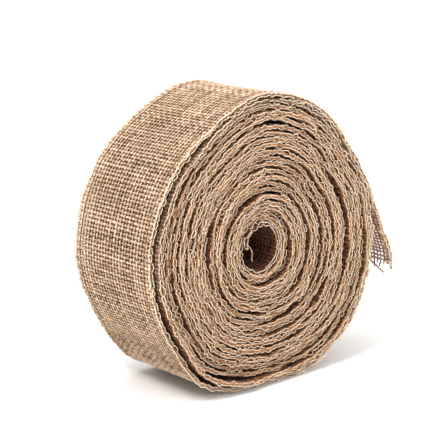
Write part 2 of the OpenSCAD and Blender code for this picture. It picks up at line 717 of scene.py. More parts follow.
@dataclass
class Yarns:
    """Yarns laid out on the flat strip, to be made one mesh.

    Attributes:
        sides: Sides of each yarn's round: 4, 6 or 8.
        press: Share of the thickness that is left when the cloth is pressed.
        crown: Height of the cloth's palest fibres over its middle, or none where there is no cloth; the
            yarns are painted paler on their crowns and darker in the weave's hollows, as painted light and
            shade.
        edge: Place of the strip's edge, where its fibres are palest, or none; from there painted shade
            darkens them inwards, into the gaps between turns.
        edge_dark: Distance in from that edge over which the painted shade grows dark.
        twist: Length of a yarn in which its fibres turn once round it.
        stretched: Length of the fibres' pattern along the yarn, as a share of its own.
        apart: Shift of the pattern from one yarn to the next, lengthwise and across.
        lines: Each yarn's places.
        radii: Each yarn's radius at its places.
        tones: Each yarn's tone, from 0, dark, to 1, light.
    """

    sides: int = 4
    press: float = 1.0
    crown: float = 0.0
    edge: float = 0.0
    edge_dark: float = 1.3 * MM
    twist: float = 5.5 * MM
    stretched: float = 0.16
    apart: Pair = (3.7 * MM, 1.3 * MM)
    lines: list[Points] = field(default_factory=list)
    radii: list[Points] = field(default_factory=list)
    tones: list[float] = field(default_factory=list)

    def lay(self, line: Points, radius: Any, tone: float) -> None:
        """Lays one yarn.

        Args:
            line: Its places.
            radius: Its radius, one for all or one at each place.
            tone: Its tone.
        """
        self.lines.append(np.asarray(line, float))
        self.radii.append(np.broadcast_to(np.asarray(radius, float), len(line)).copy())
        self.tones.append(float(tone))

    def make(self, name: str, spiral: Spiral | None, finish: bpy.types.Material) -> bpy.types.Object:
        """Makes the yarns one piece, wound along the spiral.

        Args:
            name: The piece's name.
            spiral: The path, or None where the places are in the frame already.
            finish: The piece's material.

        Returns:
            The piece.
        """
        mesh = self._tubes(name)
        places = places_of(mesh)
        if len(places) != self.sides * sum(len(line) for line in self.lines):
            raise ValueError(f"{name}: its yarns aren't whole rounds")
        self._note(mesh, places)
        places[:, 2] *= self.press
        placed = places if spiral is None else spiral.wind(places)
        mesh.vertices.foreach_set("co", placed.ravel())
        close_ends(mesh, self.sides)
        mesh.shade_smooth()
        mesh.materials.clear()
        mesh.materials.append(finish)
        LOG.info("%s: %d yarns, %d triangles", name, len(self.lines), 2 * len(mesh.polygons))
        return linked(name, mesh)

    def _tubes(self, name: str) -> bpy.types.Mesh:
        """Turns the yarns into open tubes.

        Args:
            name: The mesh's name.

        Returns:
            A mesh of rounds, in the order of the yarns' places.
        """
        curve = bpy.data.curves.new(name, "CURVE")
        curve.dimensions = "3D"
        curve.bevel_depth = 1.0
        curve.bevel_resolution = self.sides // 2 - 2
        for line, radius in zip(self.lines, self.radii):
            spline = curve.splines.new("POLY")
            spline.points.add(len(line) - 1)
            spline.points.foreach_set("co", np.c_[line, np.ones(len(line))].ravel())
            spline.points.foreach_set("radius", radius)
        holder = linked(name, curve)
        bpy.context.view_layer.update()
        ready = holder.evaluated_get(bpy.context.evaluated_depsgraph_get())
        mesh = bpy.data.meshes.new_from_object(ready)
        bpy.data.objects.remove(holder)
        bpy.data.curves.remove(curve)
        mesh.name = name
        return mesh

    def _note(self, mesh: bpy.types.Mesh, places: Points) -> None:
        """Notes on each vertex what the finish reads: tone, crown (where the painted light and shade fall)
        and grain.

        Args:
            mesh: The yarns' mesh.
            places: Its vertices' places on the flat strip.
        """
        tone = np.repeat(np.array(self.tones), [len(line) * self.sides for line in self.lines])
        # crown: 1 where the painted light is fullest, 0 where the painted shade is deepest, in the weave's
        # hollows or away from the strip's edge
        crown = np.ones(len(places))
        if self.crown:
            crown = np.clip(np.abs(places[:, 2]) / self.crown, 0.0, 1.0)
        elif self.edge:
            crown = np.clip(1.0 - (self.edge - np.abs(places[:, 1])) / self.edge_dark, 0.0, 1.0)
        for label, values in (("tone", tone), ("crown", crown)):
            mesh.attributes.new(label, "FLOAT", "POINT").data.foreach_set("value", values)
        grain = self._grain(places).ravel()
        mesh.attributes.new("grain", "FLOAT_VECTOR", "POINT").data.foreach_set("vector", grain)

    def _grain(self, places: Points) -> Points:
        """The yarn's own coordinates at each vertex, in millimetres, turned by its twist.

        Args:
            places: The vertices' places, a round at a time.

        Returns:
            Rows of (lengthwise, and two across), which run along the fibres of a twisted yarn.
        """
        middles = np.vstack(self.lines)
        offset = places.reshape(-1, self.sides, 3) - middles[:, None, :]
        run = np.concatenate([travelled(line) for line in self.lines])
        order = np.repeat(np.arange(len(self.lines)), [len(line) for line in self.lines])
        ahead = np.concatenate([np.gradient(line, axis=0) for line in self.lines])
        ahead /= np.maximum(np.linalg.norm(ahead, axis=1, keepdims=True), 1e-9)
        side = np.stack([-ahead[:, 1], ahead[:, 0], np.zeros(len(ahead))], axis=1)
        side /= np.maximum(np.linalg.norm(side, axis=1, keepdims=True), 1e-9)
        rise = np.cross(ahead, side)
        a = np.einsum("nsk,nk->ns", offset, side)
        b = np.einsum("nsk,nk->ns", offset, rise)
        turn = (TURN * run / self.twist)[:, None]
        grain = np.stack(
            [
                np.broadcast_to((run * self.stretched)[:, None], a.shape) + order[:, None] * self.apart[0],
                a * np.cos(turn) - b * np.sin(turn) + order[:, None] * self.apart[1],
                a * np.sin(turn) + b * np.cos(turn),
            ],
            axis=2,
        )
        return grain.reshape(-1, 3) / MM


@dataclass(frozen=True)
class Fibre:
    """A loose fibre that stands out of the cloth.

    Attributes:
        length: Its least and most length, in millimetres.
        bend: Usual angle over which it bends, in radians.
        root: Height of its root over the cloth's middle.
        rise: Least and most height that it rises from there, in millimetres.
        arc: Least and most angle of that rise, in radians.
        root_r: Its radius at the root.
        taper: Radius that it loses up to its tip.
        tone: Its least and most tone.
        past: Most reach across the strip, as a share of the strip's half.
    """

    length: Pair = (1.2, 4.5)
    bend: float = 1.1
    root: float = 0.35 * MM
    rise: Pair = (0.3, 1.3)
    arc: Pair = (1.4, 3.0)
    root_r: float = 0.055 * MM
    taper: float = 0.03 * MM
    tone: Pair = (0.6, 1.0)
    past: float = 1.02


@dataclass
class Weave:
    """Plain-weave cloth as real yarns.

    Attributes:
        strip: The ribbon's make.
        fibre: The cloth's loose fibres.
        outwards: Share of those fibres that stand on the outer side.
        beat: Share of a pitch by which the crosswise yarns' spacing varies.
        beat_angle: Angle between neighbours in that variation, in radians.
        stray: Usual stray of a yarn from its straight.
        uneven: Usual share by which a yarn's thickness varies.
        weft_steps: Distances over which a crosswise yarn's place and thickness vary.
        warp_steps: Distances over which a lengthwise yarn's place and thickness vary.
        weft_end: Distance of a crosswise yarn's ends from the strip's edge.
        weft_sizes: Least and most thickness of a crosswise yarn, as shares.
        warp_sizes: Least and most thickness of a lengthwise yarn, as shares.
        bound: Share by which the seam makes the crosswise yarns thicker.
        bound_warp: Thickness of the seam's own lengthwise yarns, as a share.
        bound_fade: Distance over which the seam's hold on the crosswise yarns grows.
        weft_limits: Least and most radius of a crosswise yarn.
        warp_limits: Least and most radius of a lengthwise yarn.
        tones: Shape of the yarns' tones, towards the light and towards the dark.
        lead: Length before the inner end for which a lengthwise yarn's unevenness is worked out.
        longest: Length after it for which it is worked out.
        grid: Spacing of that unevenness's samples.
        fray: Least and most length by which lengthwise yarns outrun a cut, in millimetres.
        fray_over: Length of a frayed end over which it comes loose.
        fray_out: Usual distance that it then stands out of the cloth, in millimetres.
        fray_aside: Usual distance that it strays aside, in millimetres.
        fray_thin: Share of its thickness that it loses.
        inwards: Places in from the edge of the hidden turns' crosswise yarns.
        edge_press: Share of the thickness that is left at the hidden turns' edges.
        edge_sizes: Least and most thickness of those yarns, as shares.
        edge_stray: Usual stray of those yarns along the strip.
        edge_tones: Shape of their tones, towards the light and towards the dark.
        edge_fibres: How far in from the edge the hidden turns' fibres may begin, in millimetres.
        seed: Seed of the yarns' unevenness.
    """

    strip: Strip
    fibre: Fibre = Fibre()
    outwards: float = 0.85
    beat: float = 0.12
    beat_angle: float = 12.9898
    stray: float = 0.1 * MM
    uneven: float = 0.12
    weft_steps: Pair = (9 * MM, 5 * MM)
    warp_steps: Pair = (16 * MM, 7 * MM)
    weft_end: float = 0.35 * MM
    weft_sizes: Pair = (0.86, 1.12)
    warp_sizes: Pair = (0.88, 1.12)
    bound: float = 0.3
    bound_warp: float = 1.25
    bound_fade: float = 2 * MM
    weft_limits: Pair = (0.34 * MM, 0.78 * MM)
    warp_limits: Pair = (0.3 * MM, 0.8 * MM)
    tones: Pair = (2.6, 2.2)
    lead: float = 0.02
    longest: float = 4.9
    grid: float = 4 * MM
    fray: Pair = (0.3, 4.2)
    fray_over: float = 4 * MM
    fray_out: float = 0.6
    fray_aside: float = 0.9
    fray_thin: float = 0.35
    inwards: tuple[float, ...] = (0.4 * MM, 1.1 * MM, 2.2 * MM)
    edge_press: float = 0.92
    edge_sizes: Pair = (0.95, 1.4)
    edge_stray: float = 0.15 * MM
    edge_tones: Pair = (3.0, 2.6)
    edge_fibres: float = 1.5
    seed: int = 5

    def _orders(self, start: float, end: float) -> range:
        """The crosswise yarns between two places, by their order along the strip."""
        pitch = self.strip.weft_pitch
        return range(math.ceil(start / pitch), math.ceil(end / pitch))

    def _cloth(self) -> Yarns:
        """No yarns yet, for cloth whose face shows."""
        strip = self.strip
        # the crown height marks where painted light falls on the yarns' crowns, with painted shade in the
        # hollows
        return Yarns(sides=6, press=strip.press, crown=strip.crimp + strip.warp_r)

    def warps(self, start: float, end: float, fine: int, cut: bool = False) -> Yarns:
        """The lengthwise yarns between two places.

        Args:
            start: Where they begin along the strip.
            end: Where they end.
            fine: Places laid per crossing.
            cut: Whether the end is cut, so that it frays.

        Returns:
            The yarns.
        """
        yarns = self._cloth()
        for index in range(self.strip.warps):
            self._warp(yarns, index, start, end, fine, cut)
        return yarns

    def wefts(self, start: float, end: float, fine: int, fuzz: float = 1.0) -> Yarns:
        """The crosswise yarns between two places, with the fibres that stand out of the cloth.

        Args:
            start: Where they begin along the strip.
            end: Where they end.
            fine: Places laid per crossing.
            fuzz: Fibres for each crosswise yarn.

        Returns:
            The yarns.
        """
        yarns, orders = self._cloth(), self._orders(start, end)
        for index in orders:
            self._weft(yarns, index, fine)
        rng = np.random.default_rng(self.seed * 31 + orders.start)
        for _ in range(int(len(orders) * fuzz)):
            along, across = rng.uniform(start, end), rng.uniform(-1.0, 1.0) * self.strip.half
            self._fibre(yarns, rng, along, across, self.outwards)
        return yarns

    def _fibre(
        self, yarns: Yarns, rng: np.random.Generator, along: float, across: float, outer: float
    ) -> None:
        """Lays one loose fibre.

        Args:
            yarns: The yarns that it joins.
            rng: Source of its random values.
            along: Place of its root along the strip.
            across: Place of its root across the strip.
            outer: Chance that it stands on the outer side.
        """
        fibre, past = self.fibre, self.fibre.past * self.strip.half
        side = 1.0 if rng.random() < outer else -1.0
        share = np.linspace(0.0, 1.0, 5 if yarns.sides > 4 else 4)
        length, heading = rng.uniform(*fibre.length) * MM, rng.uniform(0.0, TURN)
        turned = heading + rng.normal(0.0, fibre.bend) * share
        rise = rng.uniform(*fibre.rise) * MM * np.sin(share * rng.uniform(*fibre.arc))
        line = np.stack(
            [
                along + length * share * np.cos(turned),
                np.clip(across + length * share * np.sin(turned), -past, past),
                side * (fibre.root + rise) / yarns.press,
            ],
            axis=1,
        )
        yarns.lay(line, fibre.root_r - fibre.taper * share, rng.uniform(*fibre.tone))

    def _weft_place(self, index: float) -> float:
        """Place along the strip of a crosswise yarn."""
        return (index + self.beat * math.sin(index * self.beat_angle)) * self.strip.weft_pitch

    def _crossing(self, across: Points, index: int) -> Points:
        """How far out of the cloth's middle a crosswise yarn runs at some places across the strip."""
        phase = across / self.strip.warp_pitch + (self.strip.warps - 1) / 2 + index
        return self.strip.crimp * np.cos(math.pi * phase)

    def _weft(self, yarns: Yarns, index: int, fine: int) -> None:
        """Lays one crosswise yarn.

        Args:
            yarns: The yarns that it joins.
            index: Its order along the strip.
            fine: Places laid per crossing.
        """
        strip = self.strip
        rng = np.random.default_rng(self.seed * 7919 + index)
        reach = strip.half - self.weft_end
        across = np.linspace(-reach, reach, strip.warps * fine + 1)
        along = self._weft_place(index) + wander(across, self.weft_steps[0], self.stray, rng)
        bound = eased((np.abs(across) - strip.half + strip.seam) / self.bound_fade)
        radius = strip.weft_r * (1.0 + wander(across, self.weft_steps[1], self.uneven, rng))
        radius = radius * rng.uniform(*self.weft_sizes) * (1.0 + self.bound * bound)
        line = np.stack([along, across, self._crossing(across, index)], axis=1)
        yarns.lay(line, np.clip(radius, *self.weft_limits), rng.beta(*self.tones))

    def _warp(self, yarns: Yarns, index: int, start: float, end: float, fine: int, cut: bool) -> None:
        """Lays one lengthwise yarn.

        Args:
            yarns: The yarns that it joins.
            index: Its order from the front edge.
            start: Where it begins along the strip.
            end: Where it ends.
            fine: Places laid per crossing.
            cut: Whether its end is cut, so that it frays.
        """
        strip = self.strip
        rng = np.random.default_rng(self.seed * 104729 + index)
        grid = np.arange(-self.lead, self.longest, self.grid)
        drift = wander(grid, self.warp_steps[0], self.stray, rng)
        thick = 1.0 + wander(grid, self.warp_steps[1], self.uneven, rng)
        tone = rng.beta(*self.tones)
        size, extra = rng.uniform(*self.warp_sizes), rng.uniform(*self.fray) * MM
        if abs(strip.warp_place(index)) > strip.half - strip.seam:
            size *= self.bound_warp
        stop = end + extra if cut else end
        step = strip.weft_pitch / fine
        inside = step * np.arange(math.ceil(start / step), math.ceil(stop / step))
        along = np.unique(np.concatenate([[start], inside[(inside > start) & (inside < stop)], [stop]]))
        out = -strip.crimp * np.cos(math.pi * (along / strip.weft_pitch + index))
        across = strip.warp_place(index) + np.interp(along, grid, drift)
        radius = strip.warp_r * size * np.interp(along, grid, thick)
        if cut:
            loose = np.clip((along - end) / self.fray_over, 0.0, 1.0)
            out = out * (1.0 - loose) + loose * rng.normal(0.0, self.fray_out) * MM
            across = across + loose * rng.normal(0.0, self.fray_aside) * MM
            radius = radius * (1.0 - self.fray_thin * loose)
        line = np.stack([along, across, out], axis=1)
        yarns.lay(line, np.clip(radius, *self.warp_limits), tone)

    def edge(self, edge: Edge, start: float, end: float, depth: float) -> Yarns:
        """The cloth's outermost few millimetres along one edge, for turns that hide the rest.

        Args:
            edge: Which edge.
            start: Where it begins along the strip.
            end: Where it ends.
            depth: How far it reaches in from the edge.

        Returns:
            The edge's yarns.
        """
        strip = self.strip
        # edge sets painted shade that darkens these yarns inwards from the edge, into the gaps between
        # turns
        yarns = Yarns(sides=4, press=self.edge_press, edge=strip.half)
        across = edge.value * (strip.half - np.array([*self.inwards, depth]))
        for index in self._orders(start, end):
            rng = np.random.default_rng(self.seed * 7919 + index)
            along = self._weft_place(index) + rng.normal(0.0, self.edge_stray, len(across))
            line = np.stack([along, across, self._crossing(across, index)], axis=1)
            yarns.lay(line, strip.weft_r * rng.uniform(*self.edge_sizes), rng.beta(*self.edge_tones))
        for order in (0, 1):
            index = order if edge is Edge.FRONT else strip.warps - 1 - order
            self._warp(yarns, index, start, end, 1, False)
        return yarns

    def fuzz(self, edge: Edge, start: float, end: float, share: float) -> Yarns:
        """The loose fibres along one edge of the turns that hide the rest.

        Args:
            edge: Which edge.
            start: Where they begin along the strip.
            end: Where they end.
            share: Fibres for each crosswise yarn.

        Returns:
            The fibres.
        """
        strip = self.strip
        # edge sets painted shade that darkens these fibres inwards from the edge
        fibres = Yarns(sides=4, press=strip.press, edge=strip.half)
        rng = np.random.default_rng(self.seed * 613 + edge.value)
        for _ in range(int((end - start) / strip.weft_pitch * share)):
            across = edge.value * (strip.half - rng.uniform(0.0, self.edge_fibres) * MM)
            self._fibre(fibres, rng, rng.uniform(start, end), across, 0.5)
        return fibres


@dataclass(frozen=True)
class Spread:
    """How much something varies from stitch to stitch.

    Attributes:
        usual: Its usual size, either way.
        least: Its lowest value.
        most: Its highest value.
    """

    usual: float
    least: float
    most: float

    def of(self, draws: Points) -> Points:
        """The variation that some standard draws stand for."""
        return np.clip(self.usual * draws, self.least, self.most)


@dataclass
class Overlock:
    """The three-thread seam that binds the ribbon's edges.

    Attributes:
        strip: The ribbon's make.
        kink: Usual size of the threads' kinks.
        kink_limit: Largest kink, as a multiple of the usual.
        leg: Share of a stitch that each leg of a looper takes.
        stand: Distance of the loopers from the cloth's middle along the edge.
        swell: How far a loop bellies out of there, in millimetres.
        big_swell: Further belly of a loose stitch, in millimetres.
        loose_from: Least standard draw that makes a stitch loose.
        lip: How far the loops reach past the strip's edge.
        lip_own: How much that varies for one thread, in millimetres.
        lip_shared: How much it varies for both loopers together, in millimetres.
        needle_r: The needle thread's radius, as a share of the loopers'.
        needle_dip: Share of a stitch over which the needle thread dips into the cloth.
        lap: Length by which neighbouring stretches of thread overlap.
        slides: Variation of the stitches' length, as a share of it.
        slips: Variation of one thread's place along the strip, in millimetres.
        depths: Variation of the seam's depth, as a share of it.
        lips: Limits of the loops' reach past the edge, in millimetres.
        stands: Variation of the loopers' distance from the middle, in millimetres.
        sags: Variation of the whole edge out of the cloth's plane, in millimetres.
        skews: Variation of where a loop bellies most.
        swells: Variation of that belly, in millimetres.
        stitches: Number of stitches for which the unevenness is drawn.
        spare: Stitches before the strip's inner end among them.
        seed: Seed of the stitches' unevenness.
    """

    strip: Strip
    kink: float = 0.09 * MM
    kink_limit: float = 1.8
    leg: float = 0.06
    stand: float = 0.42 * MM
    swell: float = 0.34
    big_swell: float = 0.4
    loose_from: float = 1.1
    lip: float = 0.15 * MM
    lip_own: float = 0.16
    lip_shared: float = 0.2
    needle_r: float = 0.8
    needle_dip: float = 0.1
    lap: float = 0.3 * MM
    slides: Spread = Spread(0.13, -0.3, 0.3)
    slips: Spread = Spread(0.16, -0.3, 0.3)
    depths: Spread = Spread(0.14, -0.3, 0.25)
    lips: Spread = Spread(1.0, -0.5, 0.6)
    stands: Spread = Spread(0.16, -0.3, 0.3)
    sags: Spread = Spread(0.26, -0.5, 0.5)
    skews: Spread = Spread(0.45, -0.7, 0.7)
    swells: Spread = Spread(0.24, -0.3, 0.4)
    stitches: int = 1700
    spare: int = 9
    seed: int = 23

    def thread(self, kind: Thread, edge: Edge, start: float, end: float, sides: int) -> Yarns:
        """One thread's stitches between two places.

        Args:
            kind: Which thread.
            edge: Which edge.
            start: Where the stitches begin along the strip.
            end: Where they end.
            sides: Sides of the thread's round.

        Returns:
            The thread as one yarn.
        """
        strip = self.strip
        first, last = math.ceil(start / strip.stitch), math.ceil(end / strip.stitch)
        order = np.arange(first - 1, last + 1)
        needle = kind is Thread.NEEDLE
        phase = np.array([0.0, 0.2, 0.5, 0.8]) if needle else self.loop
        jitter = self._jitter(order, edge, kind)
        knots = order * strip.stitch + jitter["along"]
        span = np.diff(knots, append=knots[-1] + strip.stitch)
        along = knots[:, None] + span[:, None] * phase[None, :] + jitter["slip"][:, None]
        inwards, out = self._section(kind, phase, jitter)
        across = edge.value * (strip.half - inwards)
        line = np.stack([along.ravel(), across.ravel(), out.ravel()], axis=1)
        line = line[(line[:, 0] >= start - self.lap) & (line[:, 0] <= end + self.lap)]
        # edge sets painted shade: the threads are painted paler at the edge and darker away from it
        yarns = Yarns(sides=sides, edge=strip.half)
        radius = strip.thread_r * (self.needle_r if needle else 1.0)
        yarns.lay(line, radius, {Thread.NEEDLE: 0.45, Thread.UPPER: 0.8, Thread.LOWER: 0.55}[kind])
        return yarns

    @property
    def loop(self) -> Points:
        """The share of a stitch at each place of a looper's loop."""
        return np.array([0.0, 0.02, 0.04, 0.07, 0.2, 0.35, 0.5, 0.65, 0.8, 0.93, 0.96, 0.98])

    def _jitter(self, order: Points, edge: Edge, kind: Thread) -> dict[str, Points]:
        """The stitches' unevenness, the same wherever the seam is divided.

        Args:
            order: The stitches' order along the strip.
            edge: Which edge.
            kind: Which thread.

        Returns:
            Each unevenness by name, a value for each stitch.
        """
        count, drawn = self.stitches, order + self.spare
        common = np.random.default_rng(self.seed + edge.value).normal(0.0, 1.0, (2, count))
        sag = np.convolve(common[1], np.full(3, 0.5), "same")[drawn]
        shared = common[:, drawn]
        own_seed = self.seed * 17 + edge.value * 5 + list(Thread).index(kind)
        own = np.random.default_rng(own_seed).normal(0.0, 1.0, (4, count))[:, drawn]
        kinks = np.random.default_rng(own_seed + 1).normal(0.0, 1.0, (2, count, len(self.loop)))[:, drawn]
        lips = self.lips.of(self.lip_own * own[2] + self.lip_shared * shared[1])
        loose = self.big_swell * (shared[0] > self.loose_from)
        return {
            "kinks": np.clip(kinks, -self.kink_limit, self.kink_limit) * self.kink,
            "along": self.slides.of(shared[0]) * self.strip.stitch,
            "slip": self.slips.of(own[0]) * MM,
            "depth": 1.0 + self.depths.of(own[1]),
            "lip": self.lip + lips * MM,
            "out": self.stands.of(own[3]) * MM,
            "sag": self.sags.of(sag) * MM,
            "skew": np.exp(self.skews.of(own[0])),
            "swell": (self.swell + self.swells.of(own[1]) + loose) * MM,
        }

    def _section(self, kind: Thread, phase: Points, jitter: dict[str, Points]) -> tuple[Points, Points]:
        """Where a thread runs in the seam's section.

        Args:
            kind: Which thread.
            phase: The shares of a stitch at its places.
            jitter: The stitches' unevenness.

        Returns:
            How far in from the edge, and how far out of the cloth's middle, a row for each stitch.
        """
        strip = self.strip
        over = strip.face + strip.thread_r * 0.5
        ones = np.ones((len(jitter["lip"]), len(phase)))
        if kind is Thread.NEEDLE:
            dip = np.exp(-((np.minimum(phase, 1.0 - phase) / self.needle_dip) ** 2))
            return strip.seam * ones, ones * (over - (over + 0.3 * strip.face) * dip)
        leg = np.clip((np.abs(phase - 0.5) - 0.5 + self.leg) / self.leg, 0.0, 1.0)
        on_edge = leg <= 0.0
        lip, deep = jitter["lip"][:, None], strip.seam * jitter["depth"][:, None]
        inwards = -lip + (deep + lip) * leg + jitter["kinks"][0] * on_edge
        eye = np.clip((phase - self.leg) / (1.0 - 2 * self.leg), 0.0, 1.0)
        wave = np.sin(math.pi * eye[None, :] ** jitter["skew"][:, None]) * jitter["swell"][:, None]
        out = np.where(on_edge, self.stand + wave + jitter["out"][:, None], over)
        sag = on_edge * (jitter["sag"][:, None] + jitter["kinks"][1])
        return inwards, sag + (out if kind is Thread.UPPER else -out)


class Level:
    """A number that varies over a surface: wraps a socket, so that shader maths reads as maths."""

    def __init__(self, shade: "Shade", socket: bpy.types.NodeSocket) -> None:
        """Wraps a socket of a material's nodes."""
        self.shade = shade
        self.socket = socket

    def _maths(self, operation: str, first: Any, second: Any) -> "Level":
        """Adds a Math node for an operation on two values."""
        node = self.shade.add("ShaderNodeMath", {"operation": operation}, {0: first, 1: second})
        return Level(self.shade, node.outputs[0])

    def __add__(self, other: Any) -> "Level":
        """This plus another value."""
        return self._maths("ADD", self, other)

    def __radd__(self, other: Any) -> "Level":
        """Another value plus this."""
        return self._maths("ADD", other, self)

    def __sub__(self, other: Any) -> "Level":
        """This less another value."""
        return self._maths("SUBTRACT", self, other)

    def __rsub__(self, other: Any) -> "Level":
        """Another value less this."""
        return self._maths("SUBTRACT", other, self)

    def __mul__(self, other: Any) -> "Level":
        """This times another value."""
        return self._maths("MULTIPLY", self, other)

    def __rmul__(self, other: Any) -> "Level":
        """Another value times this."""
        return self._maths("MULTIPLY", other, self)

    def __pow__(self, other: Any) -> "Level":
        """This to a power."""
        return self._maths("POWER", self, other)

    def __abs__(self) -> "Level":
        """This without its sign."""
        return self._maths("ABSOLUTE", self, 0.0)

    def sine(self) -> "Level":
        """The sine of this, in radians."""
        return self._maths("SINE", self, 0.0)


class Shade:
    """A material's nodes, added one at a time."""

    def __init__(self, name: str) -> None:
        """Starts an empty material.

        Args:
            name: The material's name.
        """
        self.material = bpy.data.materials.new(name)
        self.material.use_nodes = True
        self.nodes = self.material.node_tree.nodes
        self.links = self.material.node_tree.links
        self.nodes.clear()

    def add(
        self,
        kind: str,
        settings: dict[str, Any] | None = None,
        sockets: dict[str | int, Any] | None = None,
    ) -> bpy.types.Node:
        """Adds a node.

        Args:
            kind: The node's type.
            settings: Its settings, and under "stops" a ramp's places and colours.
            sockets: Values or links of its sockets, by name or order.

        Returns:
            The node.
        """
        node = self.nodes.new(kind)
        for name, value in (settings or {}).items():
            if name == "stops":
                self._stops(node.color_ramp, value)
            else:
                setattr(node, name, value)
        for key, value in (sockets or {}).items():
            socket = node.inputs[key]
            if isinstance(value, Level):
                self.links.new(value.socket, socket)
            elif isinstance(value, bpy.types.NodeSocket):
                self.links.new(value, socket)
            else:
                socket.default_value = value
        return node

    @staticmethod
    def _stops(ramp: bpy.types.ColorRamp, stops: Stops) -> None:
        """Sets a ramp's stops.

        Args:
            ramp: The ramp, which is changed.
            stops: Its places and colours.
        """
        while len(ramp.elements) < len(stops):
            ramp.elements.new(0.5)
        for element, (place, colour) in zip(ramp.elements, stops):
            element.position = place
            element.color = (*colour, 1.0)

    def attribute(self, name: str) -> bpy.types.Node:
        """The node that reads one of a piece's own attributes."""
        return self.add("ShaderNodeAttribute", {"attribute_type": "GEOMETRY", "attribute_name": name})

    def noise(self, where: bpy.types.NodeSocket, scale: float, detail: float = 2.0) -> Level:
        """Smooth noise over some coordinates, around a half."""
        node = self.add("ShaderNodeTexNoise", {}, {"Vector": where, "Scale": scale, "Detail": detail})
        return Level(self, node.outputs[0])

    def finish(
        self,
        colour: bpy.types.NodeSocket,
        relief: Level,
        depth: float,
        roughness: float,
        sheen: float,
    ) -> bpy.types.Material:
        """Ends the material in a rough fibre surface.

        Args:
            colour: The colour's socket.
            relief: The relief's height, from 0 to 1.
            depth: The relief's depth in metres.
            roughness: How dull the surface is.
            sheen: How much light its fuzz catches.

        Returns:
            The material.
        """
        bump = self.add("ShaderNodeBump", {}, {"Strength": 1.0, "Distance": depth, "Height": relief})
        surface = self.add(
            "ShaderNodeBsdfPrincipled",
            {},
            {
                "Base Color": colour,
                "Roughness": roughness,
                "Normal": bump.outputs["Normal"],
                "Specular IOR Level": 0.25,
                "Sheen Weight": sheen,
                "Sheen Roughness": 0.5,
            },
        )
        self.add("ShaderNodeOutputMaterial", {}, {0: surface.outputs[0]})
        return self.material


@dataclass(frozen=True)
class FibreFinish:
    """The finish of a twisted yarn or thread.

    Attributes:
        name: The material's name.
        slot: The record's material slot.
        stops: Colours from the darkest fibres to the palest.
        tone_share: How much the yarn's own tone counts.
        streak_share: How much its fibres' streaks count.
        crown_share: How strongly the crown's painted light and shade show: paler crowns and edges, darker
            hollows and gaps between turns.
        crown_middle: The crown that neither lightens nor darkens.
        fleck_share: How much the longer flecks along the yarn count.
        patch_share: How much the patches over the whole roll count.
        streak_scale: Streaks across each millimetre of yarn.
        fleck_scale: Flecks across each millimetre of yarn.
        patch_scale: Patches in each metre of the roll.
        depth: Depth of the fibres' relief, in metres.
        roughness: How dull it is.
        sheen: How much light its fuzz catches.
    """

    name: str
    slot: str
    stops: Stops
    tone_share: float = 0.22
    streak_share: float = 0.7
    crown_share: float = 0.85
    crown_middle: float = 0.69
    fleck_share: float = 0.36
    patch_share: float = 0.2
    streak_scale: float = 3.4
    fleck_scale: float = 0.9
    patch_scale: float = 60.0
    depth: float = 0.16 * MM
    roughness: float = 0.86
    sheen: float = 0.15

    def make(self) -> bpy.types.Material:
        """Makes the material from the yarn's tone, crown and grain.

        Returns:
            The material.
        """
        shade = Shade(self.name)
        place = shade.add("ShaderNodeTexCoord").outputs["Object"]
        grain = shade.attribute("grain").outputs["Vector"]
        tone = Level(shade, shade.attribute("tone").outputs["Fac"])
        crown = Level(shade, shade.attribute("crown").outputs["Fac"])
        streak = shade.noise(grain, self.streak_scale, 3.0)
        fleck = shade.noise(grain, self.fleck_scale)
        patch = shade.noise(place, self.patch_scale, 3.0)
        # the crown term is painted light and shade; tone, streak, fleck and patch are the yarn's own
        # colour
        level = (
            0.5
            + (tone - 0.5) * self.tone_share
            + (crown - self.crown_middle) * self.crown_share
            + (streak - 0.5) * self.streak_share
            + (fleck - 0.5) * self.fleck_share
            + (patch - 0.5) * self.patch_share
        )
        ramp = shade.add("ShaderNodeValToRGB", {"stops": self.stops}, {0: level})
        return shade.finish(ramp.outputs[0], streak, self.depth, self.roughness, self.sheen)


@dataclass(frozen=True)
class WovenFinish:
    """The finish of the hidden turns' cloth: plain weave drawn on the strip's own map, in darkened colours
    that paint the shade inside the roll.

    Attributes:
        name: The material's name.
        stops: Colours from the gaps between yarns, painted dark as shaded holes, to their crowns.
        strip: The ribbon's make.
        length: Length of the mapped strip.
    """

    name: str
    stops: Stops
    strip: Strip
    length: float

    def make(self) -> bpy.types.Material:
        """Makes the material.

        Returns:
            The material.
        """
        shade = Shade(self.name)
        flat = shade.add("ShaderNodeTexCoord").outputs["UV"]
        map_scale = (self.length / self.strip.weft_pitch, self.strip.width / self.strip.warp_pitch, 1.0)
        yarns = shade.add("ShaderNodeVectorMath", {"operation": "MULTIPLY"}, {0: flat, 1: map_scale})
        parts = shade.add("ShaderNodeSeparateXYZ", {}, {0: yarns.outputs[0]})
        along = Level(shade, parts.outputs[0]) * math.pi
        across = Level(shade, parts.outputs[1]) * math.pi
        round_weft, round_warp = abs(along.sine()), abs(across.sine())
        over = (along + math.pi / 2).sine() * (across + math.pi / 2).sine() * 0.25 + 0.5
        fibres = shade.noise(yarns.outputs[0], 2.6, 3.0)
        height = (round_weft * round_warp) ** 0.5 * 0.7 + over * 0.3
        # the drawn gaps between yarns are painted dark as shaded holes, the crowns paler
        level = height * 0.8 + (fibres - 0.5) * 0.9 + 0.1
        ramp = shade.add("ShaderNodeValToRGB", {"stops": self.stops}, {0: level})
        return shade.finish(ramp.outputs[0], height, 0.35 * MM, 0.9, 0.1)


JUTE_STOPS = (
    (0.10, (0.11, 0.048, 0.020)),
    (0.36, (0.42, 0.258, 0.148)),
    (0.58, (0.65, 0.457, 0.300)),
    (0.84, (0.87, 0.690, 0.508)),
)
